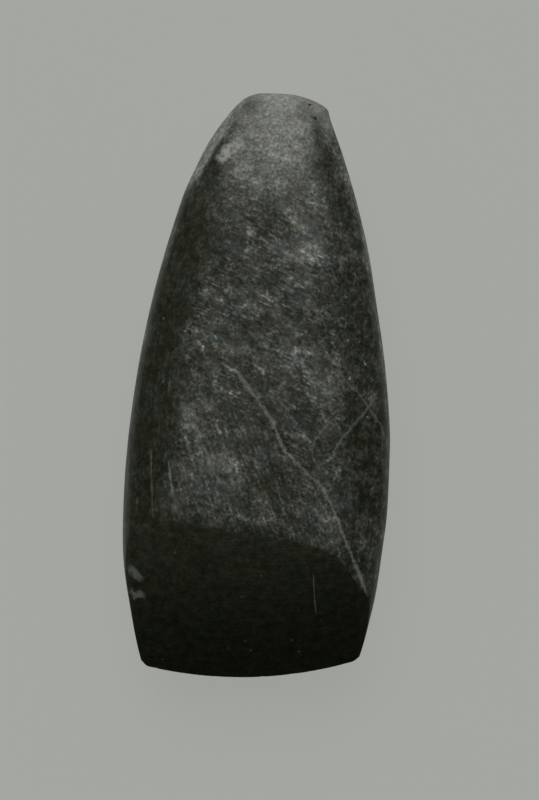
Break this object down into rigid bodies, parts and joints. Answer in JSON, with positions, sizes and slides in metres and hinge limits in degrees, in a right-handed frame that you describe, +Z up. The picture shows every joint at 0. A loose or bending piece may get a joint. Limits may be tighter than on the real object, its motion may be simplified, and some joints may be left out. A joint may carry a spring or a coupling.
{
  "type": "polished stone axe head",
  "caption": "Ground and polished stone axe head with a tapering body, a blunt butt, and two convex bevels that meet in a bowed cutting edge.",
  "frame": {"origin": "on the ground, under the middle of the length and width, with the axe lying on one broad face", "axes": "+Y along the length from the cutting edge to the butt, +X across the width, +Z up through the thickness"},
  "size_m": [0.0678, 0.15, 0.037],
  "materials": {
    "stone": "dark grey-green fine-grained stone: polished bevels and sides, and a paler pecked face and butt"
  },
  "bodies": {
    "root": {"axe_head": "stone"}
  },
  "joints": []
}
